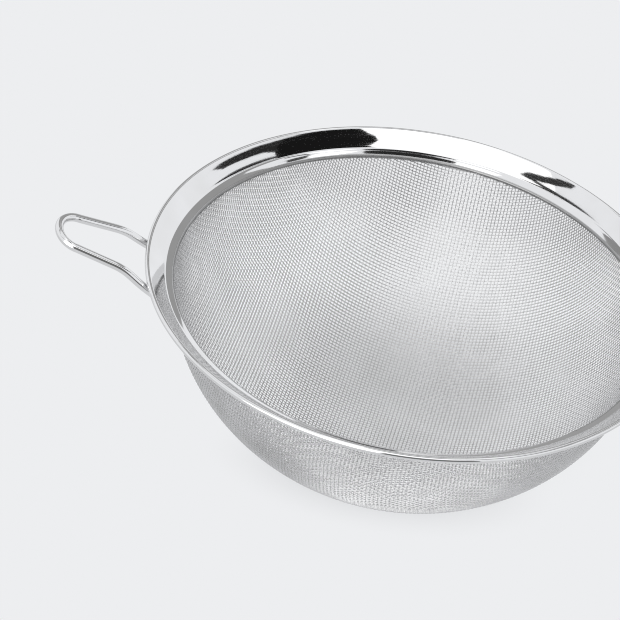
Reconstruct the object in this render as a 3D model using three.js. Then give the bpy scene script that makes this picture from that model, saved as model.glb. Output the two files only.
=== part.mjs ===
// A wire-cloth bowl sieve: a woven bowl held in a wide steel rim, with a wire loop handle at each side.
// Millimetres, +Z up. The origin is the centre of the flat that the bowl stands on.
import * as THREE from "three";

// Bowl: nearly a half-round of wire cloth, a little shallower than a hemisphere and pressed flat where it stands.
// Its outside is half an ellipse turned round the axis.
const BOWL_HALF_WIDTH = 101.2;
const BOWL_HALF_HEIGHT = 89.8;
const BOWL_CENTRE_DROP = 1; // how far the ellipse's centre lies below the rolled edge's centre
const CLOTH_THICKNESS = 0.8; // two crossing wires
const FOOT_RADIUS = 15; // the flat at the bottom
const CLOTH_EDGE_DROP = 7.1; // how far the cloth's edge lies below the rolled edge's centre

// Rim: one sheet, from the lip inside the cloth, over the shoulder and up the flange to the rolled edge.
const SHEET = 0.4;
const RIM_RADIUS = 112; // outside of the rolled edge
const LIP_DROP = 7.4; // lower edge of the lip
const LIP_TOP_DROP = 6.6; // where the lip turns into the shoulder
const SHOULDER = new THREE.Vector2(101.2, -5.95); // middle of the rounded shoulder: radius, height
const CREASE = new THREE.Vector2(103.2, -5.25); // foot of the flange: radius, height
const FLANGE_CROWN = 0.1; // how far the flange bulges from a straight cone
const BEAD_RADIUS = 1.2; // outside of the rolled edge's section
const BEAD_END_DEG = -165; // where the roll ends, turning clockwise from the flange
const CORE_RADIUS = 0.6; // wire inside the roll

// Clamp ring: the band outside the cloth, opposite the lip.
const CLAMP_TOP_DROP = 7;
const CLAMP_BOTTOM_DROP = 9;

// Loop handles: bent from one wire each. Reach is from the bowl's axis, rise is over the rim's edge.
const WIRE_RADIUS = 1.75;
const LOOP_STATIONS = [
  { reach: 103.9, rise: -8.6, halfWidth: 15.9 }, // inner end, on the clamp ring
  { reach: 112.4, rise: -3.0, halfWidth: 14.7 }, // under the rolled edge
  { reach: 120.7, rise: 3.7, halfWidth: 13.0 }, // the bend from the steep stretch to the flat one
  { reach: 139.8, rise: 9.9, halfWidth: 10.2 }, // where the end bend starts
];
const LOOP_TIP = { reach: 147.8, rise: 12.5 };
const LEG_BEND = 4; // length taken from each side of the bend in a leg
const LOOP_SIDES = new Map([
  ["left", Math.PI],
  ["right", 0],
]);

const GAP = 0.3; // between pieces that touch

// Mesh fineness.
const AROUND = 64;
const CLOTH_STEPS = 10;
const FLANGE_STEPS = 4;
const BEAD_STEPS = 11;
const CORE_SIDES = 6;
const WIRE_SIDES = 10;
const LOOP_STEPS = 54;

const BOWL_CENTRE_HEIGHT = BOWL_HALF_HEIGHT * Math.sqrt(1 - (FOOT_RADIUS / BOWL_HALF_WIDTH) ** 2);
const RIM_HEIGHT = BOWL_CENTRE_HEIGHT + BOWL_CENTRE_DROP;

const steel = (name, color, roughness) =>
  new THREE.MeshStandardMaterial({ name, color, roughness, metalness: 1 });
const polished = steel("polished_steel", 0xd8d9da, 0.08);
const satin = steel("satin_steel", 0xb9babb, 0.35);
const cloth = steel("wire_cloth", 0xc4c5c6, 0.3);

const group = new THREE.Group();

function addPiece(name, geometry, material) {
  const mesh = new THREE.Mesh(geometry, material);
  mesh.name = name;
  group.add(mesh);
  return mesh;
}

// The point a distance inside the bowl's outside and a drop below the rolled edge's centre, as (radius, z).
function onBowl(inset, drop) {
  const down = (drop - BOWL_CENTRE_DROP) / (BOWL_HALF_HEIGHT - inset);
  return new THREE.Vector2((BOWL_HALF_WIDTH - inset) * Math.sqrt(1 - down ** 2), RIM_HEIGHT - drop);
}

// Points along a circular arc, both ends included. Angles are in radians.
function arc(centre, radius, from, to, steps) {
  return Array.from({ length: steps + 1 }, (_, i) => {
    const a = from + ((to - from) * i) / steps;
    return new THREE.Vector2(centre.x + radius * Math.cos(a), centre.y + radius * Math.sin(a));
  });
}

// Points from one place to another that bow out to the left of the way by the crown.
function bowed(from, to, crown, steps) {
  const way = to.clone().sub(from);
  const left = new THREE.Vector2(-way.y, way.x).normalize();
  return Array.from({ length: steps + 1 }, (_, i) => {
    const t = i / steps;
    return from.clone().addScaledVector(way, t).addScaledVector(left, 4 * crown * t * (1 - t));
  });
}

// The closed outline of a sheet of even thickness about a middle line.
function sheetOutline(middle, thickness) {
  const offset = (side) =>
    middle.map((p, i) => {
      const before = p.clone().sub(middle[Math.max(i - 1, 0)]).normalize();
      const after = middle[Math.min(i + 1, middle.length - 1)].clone().sub(p).normalize();
      const along = before.add(after).normalize();
      return new THREE.Vector2(p.x - side * along.y, p.y + side * along.x);
    });
  return [...offset(-thickness / 2), ...offset(thickness / 2).reverse()];
}

// Turns a closed outline of (radius, z) points round the axis. The outline runs anticlockwise.
function turned(outline) {
  const closed = [...outline, outline[0]];
  const geometry = new THREE.LatheGeometry(closed, AROUND);
  return geometry.rotateX(Math.PI / 2);
}

// The woven bowl as a plain shell: out along the foot, up the outside, over the edge and down the inside.
function bowlGeometry() {
  const wall = (inset, floor) => {
    const halfHeight = BOWL_HALF_HEIGHT - inset;
    const from = Math.acos((BOWL_CENTRE_HEIGHT - floor) / halfHeight);
    const to = Math.acos((CLOTH_EDGE_DROP - BOWL_CENTRE_DROP) / halfHeight);
    return Array.from({ length: CLOTH_STEPS + 1 }, (_, i) => {
      const a = from + ((to - from) * i) / CLOTH_STEPS;
      const radius = (BOWL_HALF_WIDTH - inset) * Math.sin(a);
      return new THREE.Vector2(radius, BOWL_CENTRE_HEIGHT - halfHeight * Math.cos(a));
    });
  };
  const outside = wall(0, 0);
  const inside = wall(CLOTH_THICKNESS, CLOTH_THICKNESS);
  const axis = [new THREE.Vector2(0, 0), new THREE.Vector2(0, CLOTH_THICKNESS)];
  return turned([axis[0], ...outside, ...inside.reverse(), axis[1]]);
}

// The rim sheet's middle line, from the lip's lower edge to the end of the roll.
function rimMiddle() {
  const atRim = (p) => new THREE.Vector2(p.x, p.y + RIM_HEIGHT);
  const lipInset = CLOTH_THICKNESS + GAP + SHEET / 2;
  const lip = [onBowl(lipInset, LIP_DROP), onBowl(lipInset, LIP_TOP_DROP)];
  const shoulder = atRim(SHOULDER);
  const crease = atRim(CREASE);
  const rollRadius = BEAD_RADIUS - SHEET / 2;
  const bead = new THREE.Vector2(RIM_RADIUS - BEAD_RADIUS, RIM_HEIGHT);
  const toBead = bead.clone().sub(crease);
  const slope = toBead.angle() + Math.asin(rollRadius / toBead.length());
  const end = THREE.MathUtils.degToRad(BEAD_END_DEG);
  const roll = arc(bead, rollRadius, slope + Math.PI / 2, end, BEAD_STEPS);
  const flange = bowed(crease, roll[0], FLANGE_CROWN, FLANGE_STEPS);
  return [...lip, shoulder, ...flange, ...roll.slice(1)];
}

function coreGeometry() {
  const middle = new THREE.Vector2(RIM_RADIUS - BEAD_RADIUS, RIM_HEIGHT);
  return turned(arc(middle, CORE_RADIUS, 0, 2 * Math.PI, CORE_SIDES).slice(0, -1));
}

function clampGeometry() {
  const outset = GAP + SHEET / 2;
  const middleDrop = (CLAMP_TOP_DROP + CLAMP_BOTTOM_DROP) / 2;
  const middle = [CLAMP_BOTTOM_DROP, middleDrop, CLAMP_TOP_DROP].map((drop) => onBowl(-outset, drop));
  return turned(sheetOutline(middle, SHEET));
}

// A loop's middle line as straight stretches joined by bends, from one inner end round to the other.
function loopPath() {
  const leg = (side) =>
    LOOP_STATIONS.map((s) => new THREE.Vector3(s.reach, side * s.halfWidth, RIM_HEIGHT + s.rise));
  const path = new THREE.CurvePath();
  const straightWithBend = ([inner, under, bend, start]) => {
    const into = bend.clone().lerp(under, LEG_BEND / bend.distanceTo(under));
    const outOf = bend.clone().lerp(start, LEG_BEND / bend.distanceTo(start));
    return [
      new THREE.LineCurve3(inner, under),
      new THREE.LineCurve3(under, into),
      new THREE.QuadraticBezierCurve3(into, bend, outOf),
      new THREE.LineCurve3(outOf, start),
    ];
  };
  const near = leg(-1);
  const far = leg(1);
  const tip = new THREE.Vector3(LOOP_TIP.reach, 0, RIM_HEIGHT + LOOP_TIP.rise);
  const backwards = (c) =>
    c.isLineCurve3
      ? new THREE.LineCurve3(c.v2, c.v1)
      : new THREE.QuadraticBezierCurve3(c.v2, c.v1, c.v0);
  straightWithBend(near).forEach((c) => path.add(c));
  path.add(endBend(near[3], tip, far[3]));
  straightWithBend(far).reverse().map(backwards).forEach((c) => path.add(c));
  return path;
}

// The round end of a loop: half an ellipse from one leg through the tip to the other leg.
function endBend(start, tip, end) {
  const middle = start.clone().lerp(end, 0.5);
  const out = tip.clone().sub(middle);
  const half = start.clone().sub(middle);
  const bend = new THREE.Curve();
  bend.getPoint = (t, target = new THREE.Vector3()) =>
    target
      .copy(middle)
      .addScaledVector(half, Math.cos(Math.PI * t))
      .addScaledVector(out, Math.sin(Math.PI * t));
  return bend;
}

function loopGeometry() {
  const section = new THREE.Shape(
    arc(new THREE.Vector2(), WIRE_RADIUS, 0, 2 * Math.PI, WIRE_SIDES).slice(0, -1),
  );
  return new THREE.ExtrudeGeometry(section, { steps: LOOP_STEPS, extrudePath: loopPath() });
}

addPiece("mesh_bowl", bowlGeometry(), cloth);
addPiece("rim_flange", turned(sheetOutline(rimMiddle(), SHEET)), polished);
addPiece("rim_core_wire", coreGeometry(), satin);
addPiece("clamp_ring", clampGeometry(), satin);
for (const [side, angle] of LOOP_SIDES)
  addPiece(`loop_handle_${side}`, loopGeometry(), polished).rotateZ(angle);

export default group;
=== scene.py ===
"""A woven wire bowl sieve with a wide polished rim and two wire loop handles, on a plain pale floor."""

import math

import bpy
import numpy as np
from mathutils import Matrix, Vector


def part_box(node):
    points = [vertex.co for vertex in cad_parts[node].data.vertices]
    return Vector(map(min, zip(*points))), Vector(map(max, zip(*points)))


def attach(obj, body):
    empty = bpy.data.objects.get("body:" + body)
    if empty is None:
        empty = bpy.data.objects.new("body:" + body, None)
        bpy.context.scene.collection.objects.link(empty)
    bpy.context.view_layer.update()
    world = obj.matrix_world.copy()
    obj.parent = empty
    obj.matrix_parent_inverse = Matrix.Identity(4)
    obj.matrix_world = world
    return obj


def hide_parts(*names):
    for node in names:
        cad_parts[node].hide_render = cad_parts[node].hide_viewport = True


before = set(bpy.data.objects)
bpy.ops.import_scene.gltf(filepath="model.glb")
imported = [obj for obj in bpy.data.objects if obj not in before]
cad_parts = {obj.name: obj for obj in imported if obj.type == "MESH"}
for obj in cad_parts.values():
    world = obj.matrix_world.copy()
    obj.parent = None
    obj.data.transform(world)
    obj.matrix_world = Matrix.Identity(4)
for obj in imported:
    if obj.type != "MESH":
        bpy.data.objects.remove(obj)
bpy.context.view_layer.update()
MM = 0.001

# --------------------------------------------------------------------------------------------------
# Sizes. The ones that the frame gives are read from it; the rest are the sheet's and the weave's own.

RIM_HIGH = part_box("rim_flange")[1]
CLOTH_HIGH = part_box("mesh_bowl")[1]
BAND_LOW, BAND_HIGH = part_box("clamp_ring")

BEAD_RADIUS = 1.2 * MM
RIM_RADIUS = RIM_HIGH.x
RIM_HEIGHT = RIM_HIGH.z - BEAD_RADIUS  # the rolled edge's centre
SHEET = 0.4 * MM
GAP = 0.3 * MM  # between pieces that touch

# The rim's section: how far each point of the sheet's middle line lies below the rolled edge's centre.
LIP_LOW = 7.4 * MM
LIP_TOP = 6.6 * MM
SHOULDER_RADIUS, SHOULDER_DROP = 101.2 * MM, 5.95 * MM
CREASE_RADIUS, CREASE_DROP = 103.2 * MM, 5.25 * MM
FLANGE_CROWN = 0.1 * MM  # how far the flange bulges from a straight cone
ROLL_END = math.radians(-165)  # where the rolled edge ends, turning clockwise from the flange
SATIN_FROM, SATIN_TO = 6.35 * MM, 6.05 * MM  # satin and painted dark below the first, polished above the second
AROUND = 384  # steps round the rim and the band

# The cloth's outside is half an ellipse turned round the axis, pressed flat at the bottom.
HALF_WIDTH = 101.2 * MM
HALF_HEIGHT = 89.8 * MM
CENTRE = RIM_HEIGHT - 1.0 * MM
CLOTH = 0.8 * MM  # its thickness

# The weave: plain wire cloth, with its wires a little closer one way than the other.
WIRE = 0.42 * MM
PITCHES = 1.61 * MM, 1.43 * MM
WEAVE_TURN = math.radians(-15.1)  # of the cloth's wires from the line through the two loops
WIRE_SIDES = 6
WIRES_OUT = 112  # crossings worked out along each main wire, from the pole to beyond the edge
PIECES_PER_FAMILY = 3

# One loop's middle line in millimetres: distance from the bowl's axis, half the width between the legs, and
# height over the rolled edge's centre. It runs from the inner end, under the rolled edge and up to the tip.
LOOP_WIRE = 1.75 * MM  # its radius
LOOP_STATIONS = (103.9, 15.9, -8.6), (112.4, 14.7, -3.0), (120.7, 13.0, 3.7), (139.8, 10.2, 9.9)
LOOP_TIP = 147.8, 0, 12.5
LEG_BEND = 4.0  # length taken from each side of a bend in a leg


def mesh_object(name, vertices, faces, smooth=True):
    mesh = bpy.data.meshes.new(name)
    vertices = np.asarray(vertices, np.float32)
    faces = np.asarray(faces, np.int32)
    sides = faces.shape[1]
    mesh.vertices.add(len(vertices))
    mesh.vertices.foreach_set("co", vertices.ravel())
    mesh.loops.add(faces.size)
    mesh.loops.foreach_set("vertex_index", faces.ravel())
    mesh.polygons.add(len(faces))
    mesh.polygons.foreach_set("loop_start", np.arange(0, faces.size, sides, dtype=np.int32))
    mesh.polygons.foreach_set("use_smooth", np.full(len(faces), smooth))
    mesh.update(calc_edges=True)
    mesh.validate()
    piece = bpy.data.objects.new(name, mesh)
    bpy.context.scene.collection.objects.link(piece)
    return piece


# --------------------------------------------------------------------------------------------------
# Materials


class Nodes:
    """A material's node tree, with short calls for the nodes used here."""

    def __init__(self, name):
        self.material = bpy.data.materials.new(name)
        self.material.use_nodes = True
        self.tree = self.material.node_tree
        self.surface = self.tree.nodes["Principled BSDF"]

    def add(self, kind, **settings):
        node = self.tree.nodes.new(kind)
        for key, value in settings.items():
            setattr(node, key, value)
        return node

    def link(self, source, target):
        self.tree.links.new(source, target)

    def place(self):
        """The object's own coordinates, in metres."""
        return self.add("ShaderNodeTexCoord").outputs["Object"]

    def noise(self, vector, scale, detail=3.0):
        node = self.add("ShaderNodeTexNoise")
        node.inputs["Scale"].default_value = scale
        node.inputs["Detail"].default_value = detail
        self.link(vector, node.inputs["Vector"])
        return node.outputs["Fac"]

    def spread(self, value, low, high, from_low=0.3, from_high=0.7):
        node = self.add("ShaderNodeMapRange")
        for key, number in (
            ("From Min", from_low),
            ("From Max", from_high),
            ("To Min", low),
            ("To Max", high),
        ):
            node.inputs[key].default_value = number
        self.link(value, node.inputs["Value"])
        return node.outputs["Result"]

    def tint(self, value, dark, light):
        node = self.add("ShaderNodeMix", data_type="RGBA")
        node.inputs["A"].default_value = (*dark, 1)
        node.inputs["B"].default_value = (*light, 1)
        self.link(value, node.inputs["Factor"])
        return node.outputs["Result"]

    def bump(self, height, distance):
        node = self.add("ShaderNodeBump")
        node.inputs["Distance"].default_value = distance
        node.inputs["Strength"].default_value = 1.0
        self.link(height, node.inputs["Height"])
        self.link(node.outputs["Normal"], self.surface.inputs["Normal"])


def turning_lines(nodes, across, along):
    """Noise drawn out round the bowl's axis, as turning and polishing leave it."""
    split = nodes.add("ShaderNodeSeparateXYZ")
    nodes.link(nodes.place(), split.inputs["Vector"])
    squares = []
    for axis in "XY":
        square = nodes.add("ShaderNodeMath", operation="MULTIPLY")
        nodes.link(split.outputs[axis], square.inputs[0])
        nodes.link(split.outputs[axis], square.inputs[1])
        squares.append(square.outputs[0])
    total = nodes.add("ShaderNodeMath", operation="ADD")
    nodes.link(squares[0], total.inputs[0])
    nodes.link(squares[1], total.inputs[1])
    radius = nodes.add("ShaderNodeMath", operation="SQRT")
    nodes.link(total.outputs[0], radius.inputs[0])
    angle = nodes.add("ShaderNodeMath", operation="ARCTAN2")
    nodes.link(split.outputs["Y"], angle.inputs[0])
    nodes.link(split.outputs["X"], angle.inputs[1])
    join = nodes.add("ShaderNodeCombineXYZ")
    for source, factor, target in (
        (radius.outputs[0], across, "X"),
        (angle.outputs[0], along, "Y"),
        (split.outputs["Z"], across, "Z"),
    ):
        scaled = nodes.add("ShaderNodeMath", operation="MULTIPLY")
        scaled.inputs[1].default_value = factor
        nodes.link(source, scaled.inputs[0])
        nodes.link(scaled.outputs[0], join.inputs[target])
    return nodes.noise(join.outputs[0], 1.0)


def steel(name, dark, light, rough, lines=None, bump=0.0):
    """Bare stainless steel: colour and roughness vary a little, with optional turning lines."""
    nodes = Nodes(name)
    nodes.surface.inputs["Metallic"].default_value = 1.0
    cloud = nodes.noise(nodes.place(), 60.0)
    nodes.link(nodes.tint(nodes.spread(cloud, 0, 1), dark, light), nodes.surface.inputs["Base Color"])
    grain = turning_lines(nodes, *lines) if lines else nodes.noise(nodes.place(), 900.0)
    nodes.link(nodes.spread(grain, *rough), nodes.surface.inputs["Roughness"])
    if bump:
        nodes.bump(grain, bump)
    return nodes.material


def rim_steel():
    """Polished, with the lip inside the bowl left satin and its colour painted dark, a painted reflection of
    the shaded wire cloth beside it.
    """
    nodes = Nodes("polished_rim")
    nodes.surface.inputs["Metallic"].default_value = 1.0
    split = nodes.add("ShaderNodeSeparateXYZ")
    nodes.link(nodes.place(), split.inputs["Vector"])
    lip = nodes.spread(split.outputs["Z"], 1, 0, RIM_HEIGHT - SATIN_FROM, RIM_HEIGHT - SATIN_TO)
    cloud = nodes.spread(nodes.noise(nodes.place(), 60.0), 0, 1)
    bright = nodes.tint(cloud, (0.66, 0.66, 0.66), (0.70, 0.70, 0.705))
    # The lip's colour, far darker than satin steel: painted shade for the dark cloth that it reflects.
    dull_painted_shade = nodes.tint(cloud, (0.25, 0.25, 0.25), (0.30, 0.30, 0.30))
    colour = nodes.tint(lip, (1, 1, 1), (0, 0, 0)).node
    nodes.link(bright, colour.inputs["A"])
    nodes.link(dull_painted_shade, colour.inputs["B"])
    nodes.link(colour.outputs["Result"], nodes.surface.inputs["Base Color"])
    grain = turning_lines(nodes, 2500, 3)
    rough = nodes.add("ShaderNodeMix")
    nodes.link(lip, rough.inputs["Factor"])
    nodes.link(nodes.spread(grain, 0.02, 0.07), rough.inputs["A"])
    nodes.link(nodes.spread(grain, 0.30, 0.42), rough.inputs["B"])
    nodes.link(rough.outputs["Result"], nodes.surface.inputs["Roughness"])
    nodes.bump(grain, 0.000001)
    return nodes.material


POLISHED = rim_steel()
POLISHED_WIRE = steel("polished_wire", (0.66,) * 3, (0.70, 0.70, 0.705), (0.04, 0.09))
SATIN = steel("satin_steel", (0.60,) * 3, (0.66, 0.66, 0.665), (0.22, 0.34), (3000, 4), 0.000003)
CLOTH_STEEL = steel("wire_cloth", (0.58,) * 3, (0.66, 0.66, 0.665), (0.14, 0.24))


def give(piece, material, slot, *nodes):
    """Finishes a piece: its material, its body and the CAD nodes that it stands for. The slot is not used."""
    piece.data.materials.clear()
    piece.data.materials.append(material)
    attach(piece, "root")
    if nodes:
        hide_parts(*nodes)
    return piece


# --------------------------------------------------------------------------------------------------
# The wire cloth

MIDDLE_WIDTH = HALF_WIDTH - CLOTH / 2
MIDDLE_HEIGHT = HALF_HEIGHT - CLOTH / 2
CURVE = np.array([MIDDLE_WIDTH**-2, MIDDLE_WIDTH**-2, MIDDLE_HEIGHT**-2])


def main_wire(count, pitch):
    """Points one pitch apart along a curve from the pole straight up the bowl, as (radius, height)."""
    angles = [0.0]
    while len(angles) < count:
        t = angles[-1]
        step = pitch / MIDDLE_WIDTH
        for _ in range(4):
            reach = math.hypot(
                MIDDLE_WIDTH * (math.sin(t + step) - math.sin(t)),
                MIDDLE_HEIGHT * (math.cos(t + step) - math.cos(t)),
            )
            step *= pitch / reach
        angles.append(t + step)
    t = np.array(angles)
    return MIDDLE_WIDTH * np.sin(t), -MIDDLE_HEIGHT * np.cos(t)


def quarter_net(count):
    """Crossings of one quarter of a square cloth laid in the bowl, from the pole out.

    The wires don't stretch, so each crossing lies one pitch from the two before it, and the cells shear
    between the two main wires.
    """
    net = np.full((count, count, 3), np.nan)
    flat = np.zeros(count)
    for axis, pitch in enumerate(PITCHES):
        radius, height = main_wire(count, pitch)
        order = (radius, flat) if axis == 0 else (flat, radius)
        first = net[:, 0] if axis == 0 else net[0, :]
        first[...] = np.stack([*order, height], 1)
    p, q = PITCHES
    for total in range(2, 2 * count - 1):
        i = np.arange(max(1, total - count + 1), min(count, total))
        j = total - i
        a, b, back = net[i - 1, j], net[i, j - 1], net[i - 1, j - 1]
        known = np.isfinite(a + b + back).all(1)
        i, j, a, b, back = i[known], j[known], a[known], b[known], back[known]
        point = a + b - back
        for _ in range(5):
            error = np.stack(
                [
                    ((point - a) ** 2).sum(1) - p**2,
                    ((point - b) ** 2).sum(1) - q**2,
                    ((point**2 * CURVE).sum(1) - 1) * MIDDLE_WIDTH**2,
                ],
                1,
            )
            slope = 2 * np.stack([point - a, point - b, point * CURVE * MIDDLE_WIDTH**2], 1)
            point = point - np.linalg.solve(slope, error[..., None])[..., 0]
        lost = ((point - back) ** 2).sum(1) < (0.4 * p) ** 2
        lost |= abs(((point - a) ** 2).sum(1) / p**2 - 1) > 0.01
        point[lost] = np.nan
        net[i, j] = point
    return net


def whole_net(count):
    """The four quarters as one grid of points about the ellipse's centre. The pole is in its middle."""
    quarter = quarter_net(count)
    grid = np.full((2 * count - 1, 2 * count - 1, 3), np.nan)
    for sx in (1, -1):
        for sy in (1, -1):
            i = count - 1 + sx * np.arange(count)
            j = count - 1 + sy * np.arange(count)
            grid[np.ix_(i, j)] = quarter * (sx, sy, 1)
    c, s = math.cos(WEAVE_TURN), math.sin(WEAVE_TURN)
    return grid @ np.array([[c, s, 0], [-s, c, 0], [0, 0, 1]])


def pressed(points):
    """Points about the ellipse's centre moved to the bowl's place and pressed flat at the foot."""
    points = points + (0, 0, CENTRE)
    soft = 0.5 * MM
    over = points[..., 2] - CLOTH / 2
    points[..., 2] = CLOTH / 2 + 0.5 * (over + np.sqrt(over**2 + soft**2))
    return points


def tube(points, normals, radius, sides):
    """Vertices and quads of a round wire along points, with both ends closed."""
    along = np.gradient(points, axis=0)
    along /= np.linalg.norm(along, axis=1)[:, None]
    side = np.cross(along, normals)
    side /= np.linalg.norm(side, axis=1)[:, None]
    up = np.cross(side, along)
    angle = 2 * math.pi * np.arange(sides) / sides
    ring = np.cos(angle)[None, :, None] * up[:, None] + np.sin(angle)[None, :, None] * side[:, None]
    vertices = (points[:, None] + radius * ring).reshape(-1, 3)
    count = len(points)
    start = (np.arange(count - 1) * sides)[:, None]
    here, after = start + np.arange(sides), start + (np.arange(sides) + 1) % sides
    quads = np.stack([here, after, after + sides, here + sides], 2).reshape(-1, 4)
    last = (count - 1) * sides
    caps = [[base + i for i in quad] for base, way in ((0, -1), (last, 1)) for quad in end_quads(sides, way)]
    return vertices, np.concatenate([quads, caps])


def end_quads(sides, way):
    """Quads that close a ring with an even number of sides."""
    order = list(range(sides))[::way]
    return [[order[0], order[k], order[k + 1], order[k + 2]] for k in range(1, sides - 2, 2)]


def below(line, normals, lifts, edge):
    """The stretch of a wire that lies below the cloth's edge, cut off level with it."""
    inside = np.isfinite(line).all(1)
    inside[inside] = line[inside, 2] < edge
    if inside.sum() < 4:
        return None
    first, last = np.flatnonzero(inside)[[0, -1]]
    table = np.concatenate([line, normals, lifts[:, None]], 1)
    rows = [table[first : last + 1]]
    if first > 0 and np.isfinite(table[first - 1]).all():
        rows.insert(0, cut(table[first], table[first - 1], edge))
    if last < len(table) - 1 and np.isfinite(table[last + 1]).all():
        rows.append(cut(table[last], table[last + 1], edge))
    table = np.concatenate(rows)
    return table[:, :3] + table[:, 3:6] * table[:, 6:], table[:, 3:6]


def cut(inner, outer, edge):
    share = (edge - inner[2]) / (outer[2] - inner[2])
    return (inner + share * (outer - inner))[None]


def make_cloth():
    grid = whole_net(WIRES_OUT)
    normals = grid * CURVE
    normals /= np.linalg.norm(normals, axis=2)[..., None]
    places = pressed(grid)
    index = np.arange(len(grid))
    lifts = WIRE / 2 * (-1.0) ** np.add.outer(index, index)
    for family, order, sign in (("warp", (0, 1, 2), 1), ("weft", (1, 0, 2), -1)):
        lines = zip(places.transpose(order), normals.transpose(order), sign * lifts)
        wires = [below(line, normal, lift, CLOTH_HIGH.z) for line, normal, lift in lines]
        wires = [tube(*wire, WIRE / 2, WIRE_SIDES) for wire in wires if wire]
        for k, part in enumerate(np.array_split(np.arange(len(wires)), PIECES_PER_FAMILY)):
            joined = joined_up([wires[number] for number in part])
            piece = mesh_object(f"{family}_wires_{k + 1}", *joined)
            give(piece, CLOTH_STEEL, "wire_cloth", "mesh_bowl")


def joined_up(parts):
    vertices, faces, base = [], [], 0
    for points, quads in parts:
        vertices.append(points)
        faces.append(quads + base)
        base += len(points)
    return np.concatenate(vertices), np.concatenate(faces)


# --------------------------------------------------------------------------------------------------
# The rim and the clamp band


def turned(name, outline, around):
    """A closed outline of (radius, height) points, which runs anticlockwise, turned round the bowl's axis."""
    outline = np.asarray(outline)
    angle = 2 * math.pi * np.arange(around) / around
    vertices = np.stack(
        [
            np.outer(np.cos(angle), outline[:, 0]),
            np.outer(np.sin(angle), outline[:, 0]),
            np.tile(outline[:, 1], (around, 1)),
        ],
        2,
    ).reshape(-1, 3)
    n = len(outline)
    ring = np.arange(around)[:, None] * n
    after = ((np.arange(around) + 1) % around)[:, None] * n
    here, there = np.arange(n), (np.arange(n) + 1) % n
    faces = np.stack([ring + here, after + here, after + there, ring + there], 2).reshape(-1, 4)
    return mesh_object(name, vertices, faces)


def arc(centre, radius, start, end, steps):
    angle = np.linspace(start, end, steps + 1)
    return np.stack([centre[0] + radius * np.cos(angle), centre[1] + radius * np.sin(angle)], 1)


def rounded(points, radius, steps):
    """A polyline with each inner corner replaced by a curve, radius long on each side of it."""
    points = np.asarray(points, float)
    out = [points[0]]
    for before, corner, after in zip(points, points[1:], points[2:]):
        into = corner + (before - corner) * min(0.5, radius / np.linalg.norm(before - corner))
        away = corner + (after - corner) * min(0.5, radius / np.linalg.norm(after - corner))
        for t in np.linspace(0, 1, steps + 1):
            out.append((1 - t) ** 2 * into + 2 * t * (1 - t) * corner + t**2 * away)
    out.append(points[-1])
    return np.array(out)


def sheet_outline(middle, thickness):
    """The closed outline of a sheet about its middle line, with rounded ends."""
    along = np.gradient(middle, axis=0)
    along /= np.linalg.norm(along, axis=1)[:, None]
    left = np.stack([-along[:, 1], along[:, 0]], 1)
    half = thickness / 2
    ends = []
    for point, way, turn in ((middle[-1], along[-1], 1), (middle[0], -along[0], -1)):
        start = math.atan2(way[1], way[0])
        ends.append(arc(point, half, start - math.pi / 2, start + math.pi / 2, 6)[1:-1])
    return np.concatenate([middle - left * half, ends[0], (middle + left * half)[::-1], ends[1]])


def on_bowl(inset, height):
    """The point at a height, a distance inside the cloth's outside, as (radius, height)."""
    down = (CENTRE - height) / (HALF_HEIGHT - inset)
    return ((HALF_WIDTH - inset) * math.sqrt(1 - down**2), height)


def rim_middle():
    """The rim sheet's middle line: lip, shoulder, crease, flange and rolled edge."""
    lip = CLOTH + GAP + SHEET / 2
    crease = np.array([CREASE_RADIUS, RIM_HEIGHT - CREASE_DROP])
    shoulder = np.array([SHOULDER_RADIUS, RIM_HEIGHT - SHOULDER_DROP])
    roll = BEAD_RADIUS - SHEET / 2
    bead = np.array([RIM_RADIUS - BEAD_RADIUS, RIM_HEIGHT])
    to_bead = bead - crease
    slope = math.atan2(to_bead[1], to_bead[0]) + math.asin(roll / np.linalg.norm(to_bead))
    curl = arc(bead, roll, slope + math.pi / 2, ROLL_END, 40)
    way = curl[0] - crease
    out = np.array([-way[1], way[0]]) / np.linalg.norm(way)
    t = np.linspace(0, 1, 25)
    flange = crease + t[:, None] * way + (4 * FLANGE_CROWN * t * (1 - t))[:, None] * out
    lip_points = [on_bowl(lip, RIM_HEIGHT - LIP_LOW), on_bowl(lip, RIM_HEIGHT - LIP_TOP)]
    inner = rounded([*lip_points, shoulder, crease, flange[3]], 0.8 * MM, 8)
    return np.concatenate([inner, flange[4:], curl[1:]])


def make_rim():
    rim = turned("rim", sheet_outline(rim_middle(), SHEET), AROUND)
    give(rim, POLISHED, "polished_rim", "rim_flange")
    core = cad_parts["rim_core_wire"]
    core.data.materials.clear()
    core.data.materials.append(SATIN)


def make_band():
    heights = np.linspace(BAND_LOW.z, BAND_HIGH.z, 12)
    middle = np.array([on_bowl(-GAP - SHEET / 2, h) for h in heights])
    band = turned("clamp_band", sheet_outline(middle, SHEET), AROUND)
    give(band, SATIN, "satin_steel", "clamp_ring")


# --------------------------------------------------------------------------------------------------
# The loops


def loop_line(steps=320):
    """The right-hand loop's middle line, in even steps."""
    stations = np.array(LOOP_STATIONS)
    leg = rounded(stations, LEG_BEND, 10)
    middle = stations[3] * (1, 0, 1)
    out = np.array(LOOP_TIP) - middle
    half = stations[3] - middle
    turn = np.linspace(0, math.pi, 49)[:, None]
    bend = middle + half * np.cos(turn) + out * np.sin(turn)
    mirrored = leg[::-1] * (1, -1, 1)
    line = np.concatenate([leg, bend[1:-1], mirrored]) * MM
    line[:, 2] += RIM_HEIGHT
    length = np.concatenate([[0], np.cumsum(np.linalg.norm(np.diff(line, axis=0), axis=1))])
    even = np.linspace(0, length[-1], steps)
    return np.stack([np.interp(even, length, line[:, k]) for k in range(3)], 1)


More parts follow.
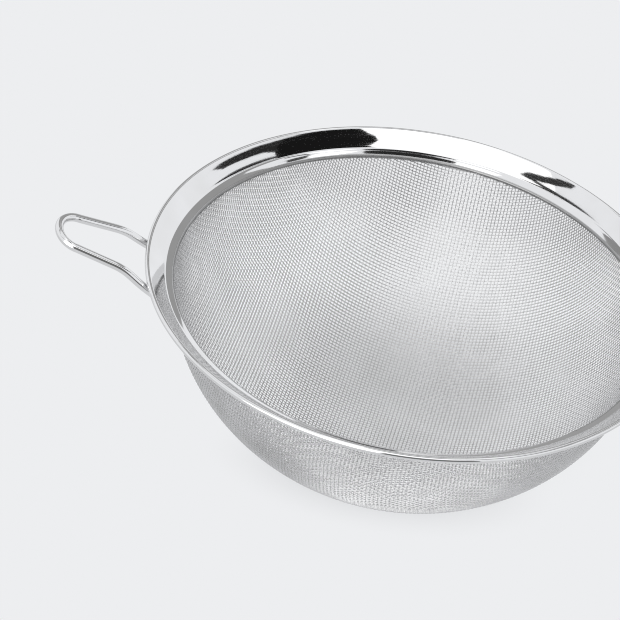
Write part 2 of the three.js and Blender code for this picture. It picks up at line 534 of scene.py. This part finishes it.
def make_loops():
    line = loop_line()
    up = np.tile([0.0, 0.0, 1.0], (len(line), 1))
    vertices, faces = tube(line, up, LOOP_WIRE, 48)
    for name, turn in (("left", -1), ("right", 1)):
        loop = mesh_object(f"loop_{name}", vertices * (turn, turn, 1), faces)
        give(loop, POLISHED_WIRE, "polished_wire", f"loop_handle_{name}")


# --------------------------------------------------------------------------------------------------
# The studio

# The camera stands slightly to the left of the -Y side and looks down at the sieve. Its lens is long.
VIEW_TURN = math.radians(-7.2)
VIEW_ELEVATION = math.radians(37.74)
VIEW_ROLL = math.radians(9.15)
VIEW_DISTANCE = 9.251  # in rim radii, as are the two shifts of the aim
VIEW_SIDE, VIEW_UP = 0.387, 0.106
LENS = 145.2

PALE = (0.847, 0.855, 0.871)
SOFT_BOX = 1.6
SKY = 1.32
FLOOR_SIZE = 6.0  # half its side
FLOOR_DROP = 0.1 * MM  # below the foot, so that the two don't share a plane
FAR, NEAR = 8.0, 3.0  # how far off the soft box and the small cards hang

# The floor's light is darkened in two ovals, a painted shadow of the sieve: a long one a little nearer to the
# camera than the bowl's axis, and a wide one behind it under the bowl. Each has its level, the distances that
# it is whole to and gone from, how many times longer it is from left to right than it is wide, and how far it
# lies left and towards the camera.
PAINTED_FLOOR_SHADOWS = (0.74, 4.7 * MM, 41.4 * MM, 1.88, 0, 18 * MM), (0.62, 5 * MM, 85 * MM, 1.1, -10 * MM, -45 * MM)


def camera_axes():
    """The camera's right, up and back directions, before and after its roll."""
    back = Vector((0, -math.cos(VIEW_ELEVATION), math.sin(VIEW_ELEVATION)))
    right = Vector((1, 0, 0))
    up = back.cross(right)
    rolled = (
        right * math.cos(VIEW_ROLL) + up * math.sin(VIEW_ROLL),
        up * math.cos(VIEW_ROLL) - right * math.sin(VIEW_ROLL),
        back,
    )
    return [turned_about_z(axis) for axis in rolled]


def turned_about_z(vector):
    c, s = math.cos(VIEW_TURN), math.sin(VIEW_TURN)
    return Vector((c * vector.x - s * vector.y, s * vector.x + c * vector.y, vector.z))


def make_camera():
    right, up, back = camera_axes()
    data = bpy.data.cameras.new("camera")
    data.lens = LENS
    data.sensor_width = 36
    data.clip_start = 0.05
    data.clip_end = 50
    camera = bpy.data.objects.new("camera", data)
    bpy.context.scene.collection.objects.link(camera)
    offset = back * VIEW_DISTANCE - right * VIEW_SIDE - up * VIEW_UP
    place = Vector((0, 0, RIM_HEIGHT)) + offset * RIM_RADIUS
    for column, axis in enumerate((right, up, back)):
        for row in range(3):
            camera.matrix_world[row][column] = axis[row]
    camera.matrix_world.translation = place
    bpy.context.scene.camera = camera


def painted_shadow_oval(nodes, level, near, far, length, left, forward):
    """How bright the floor is in one of the painted shadow ovals, from its level in the middle to one outside
    it.
    """
    squeezed = nodes.add("ShaderNodeMapping")
    squeezed.inputs["Scale"].default_value = (1 / length, 1, 1)
    squeezed.inputs["Location"].default_value = (left / length, forward, 0)
    nodes.link(nodes.place(), squeezed.inputs["Vector"])
    distance = nodes.add("ShaderNodeVectorMath", operation="LENGTH")
    nodes.link(squeezed.outputs["Vector"], distance.inputs[0])
    shade = nodes.spread(distance.outputs["Value"], level, 1.0, near, far)
    shade.node.interpolation_type = "SMOOTHSTEP"
    return shade


def make_floor():
    nodes = Nodes("floor")
    tree = nodes.tree
    tree.nodes.remove(nodes.surface)
    light = nodes.add("ShaderNodeEmission")
    light.inputs["Color"].default_value = (*PALE, 1)
    whole = nodes.add("ShaderNodeMath", operation="MULTIPLY")
    # The floor's light is multiplied by the two painted shadow ovals.
    for slot, shade in enumerate(PAINTED_FLOOR_SHADOWS):
        nodes.link(painted_shadow_oval(nodes, *shade), whole.inputs[slot])
    nodes.link(whole.outputs[0], light.inputs["Strength"])
    nodes.link(light.outputs[0], tree.nodes["Material Output"].inputs["Surface"])
    corners = [(x * FLOOR_SIZE, y * FLOOR_SIZE, 0) for x, y in ((-1, -1), (1, -1), (1, 1), (-1, 1))]
    floor = mesh_object("floor", corners, [[0, 1, 2, 3]], smooth=False)
    floor.data.materials.append(nodes.material)
    floor.location.z = -FLOOR_DROP
    floor.rotation_euler.z = VIEW_TURN


def make_world():
    """A pale sky, brighter than the floor to everything but the camera."""
    world = bpy.data.worlds.new("world")
    bpy.context.scene.world = world
    world.use_nodes = True
    tree = world.node_tree
    background = tree.nodes["Background"]
    background.inputs["Color"].default_value = (*PALE, 1)
    seen = tree.nodes.new("ShaderNodeLightPath").outputs["Is Camera Ray"]
    strength = tree.nodes.new("ShaderNodeMapRange")
    strength.inputs["To Min"].default_value = SKY
    strength.inputs["To Max"].default_value = 1.0
    tree.links.new(seen, strength.inputs["Value"])
    tree.links.new(strength.outputs["Result"], background.inputs["Strength"])
    bpy.context.scene.view_settings.view_transform = "Standard"
    bpy.context.scene.cycles.filter_width = 1.1


def card_material(name, level):
    """Plain light that fades out where the card's own "cover" falls from one to nothing."""
    nodes = Nodes(name)
    nodes.tree.nodes.remove(nodes.surface)
    cover = nodes.add("ShaderNodeAttribute", attribute_name="cover")
    clear = nodes.add("ShaderNodeBsdfTransparent")
    light = nodes.add("ShaderNodeEmission")
    light.inputs["Color"].default_value = (level, level, level, 1)
    mix = nodes.add("ShaderNodeMixShader")
    nodes.link(cover.outputs["Fac"], mix.inputs[0])
    nodes.link(clear.outputs[0], mix.inputs[1])
    nodes.link(light.outputs[0], mix.inputs[2])
    nodes.link(mix.outputs[0], nodes.tree.nodes["Material Output"].inputs["Surface"])
    return nodes.material


def in_the_sky(azimuth, elevation, reach):
    """The point in a direction from the middle of the rim. Azimuth starts at the camera's right."""
    a, e = math.radians(azimuth), math.radians(elevation)
    way = Vector((math.cos(e) * math.cos(a), math.cos(e) * math.sin(a), math.sin(e)))
    return turned_about_z(way) * reach + Vector((0, 0, RIM_HEIGHT))


def moved_out(outline, distance):
    """An outline of (azimuth, elevation) with every edge moved outwards by about the distance, in degrees."""
    points = np.array(outline, float)
    squeeze = np.array([np.cos(np.radians(points[:, 1])), np.ones(len(points))]).T
    edge = (np.roll(points, -1, 0) - points) * squeeze
    edge /= np.linalg.norm(edge, axis=1)[:, None]
    normal = np.stack([edge[:, 1], -edge[:, 0]], 1)
    at_corner = normal + np.roll(normal, 1, 0)
    at_corner /= np.maximum((at_corner**2).sum(1), 1.0)[:, None] / 2
    area = np.cross(points, np.roll(points, -1, 0)).sum()
    return points + math.copysign(distance, area) * at_corner / squeeze


def sky_card(name, level, outline, fade, reach):
    """A card far off, seen only in the steel, with a soft edge as wide as fade.

    Its outline is in degrees: azimuth from the camera's right, anticlockwise seen from above, and elevation.
    """
    rings = [moved_out(outline, -fade / 2), moved_out(outline, fade / 2)]
    points = [in_the_sky(*point, reach) for ring in rings for point in ring]
    n = len(outline)
    faces = [list(range(n))]
    faces += [[k, (k + 1) % n, n + (k + 1) % n, n + k] for k in range(n)]
    mesh = bpy.data.meshes.new(name)
    mesh.from_pydata(points, [], faces)
    cover = mesh.attributes.new("cover", "FLOAT", "POINT")
    cover.data.foreach_set("value", [1.0] * n + [0.0] * n)
    card = bpy.data.objects.new(name, mesh)
    bpy.context.scene.collection.objects.link(card)
    card.data.materials.append(card_material(name, level))
    card.visible_camera = False


def make_cards():
    """The lights and dark shapes that the steel reflects, each where the rim shows it."""
    outline = [(-156, 50), (-100, 47), (-46, 50), (-45, 80), (-100, 84), (-150, 80)]
    sky_card("soft_box", SOFT_BOX, outline, 8, FAR)
    sky_card("front_light", 2.7, [(-144, 8), (-104, 8), (-98, 22), (-102, 42), (-142, 42)], 9, 5.0)
    sky_card("back_shade", 0.45, [(89, -2), (109, -2), (109, 40), (101, 45), (87, 41)], 8, 6.0)
    sky_card("front_dark", 0.2, [(-91, -6), (-60, -6), (-58, 42), (-66, 46), (-88, 42)], 5, NEAR)

    outline = [(-51, 62.3), (-48, 63.7), (-42, 64.4), (-34, 65.5), (-24, 62.5), (-14, 59), (-6, 54.5)]
    outline += [(0, 51), (-3, 46), (-8, 43), (-20, 46), (-30, 50), (-40, 54), (-46, 57.5), (-49, 59.6)]
    sky_card("side_dark", 0.012, outline, 1, NEAR)
    outline = [(-4, 53), (3, 49.5), (13, 43.9), (22, 37.7), (25, 35.5), (21, 36.7), (12, 41.8)]
    sky_card("side_dark_upper", 0.03, outline + [(4, 45.9), (-5, 47.5)], 1, NEAR)
    outline = [(-10, 47), (-1, 43.7), (10, 38.3), (22, 30.6), (28, 25), (21, 28.5), (10, 35.2)]
    sky_card("side_dark_lower", 0.03, outline + [(0, 41.4), (-10, 43)], 1, NEAR)

    outline = [(62, 71), (68, 69), (80, 71), (93, 73), (93, 80), (76, 83), (44, 84), (40, 79), (52, 74)]
    sky_card("top_dark", 0.03, outline, 2, NEAR)
    sky_card("top_spot", 0.08, [(45, 61), (56, 59.7), (59, 61.5), (50, 63)], 1, NEAR)
    outline = [(46, 65.5), (53, 63.6), (60, 63.5), (63, 67.5), (55, 69), (45, 68)]
    sky_card("top_light", 2.0, outline, 1, NEAR)
    sky_card("top_light_2", 2.0, [(95, 72), (106, 70.5), (118, 76), (112, 79), (98, 78)], 2, NEAR)

    outline = [(-146, 58.7), (-150, 59.7), (-160, 58.6), (-170, 58.1), (-177, 56.5), (-174, 55.5)]
    sky_card("left_dark", 0.05, outline + [(-166, 55.9), (-158, 56.7), (-150, 57.2)], 0.8, NEAR)
    outline = [(-148, 58.4), (-158, 54.6), (-166, 51.6), (-176, 47.7), (-186, 42), (-189, 40)]
    outline += [(-176, 46.2), (-166, 50.3), (-158, 53.3), (-150, 57.3)]
    sky_card("left_line", 0.03, outline, 0.6, NEAR)

    outline = [(112, 53), (135, 51.5), (156, 53), (156, 50), (135, 49), (114, 50)]
    sky_card("back_line", 0.35, outline, 2, NEAR)
    outline = [(62, 26), (74, 18), (82, 26), (74, 36), (62, 46), (48, 53), (32, 57), (15, 58)]
    outline += [(18, 53.5), (36, 50), (50, 44), (58, 34)]
    sky_card("back_dark", 0.42, outline, 7, NEAR)


make_cloth()
make_rim()
make_band()
make_loops()
make_camera()
make_floor()
make_world()
make_cards()
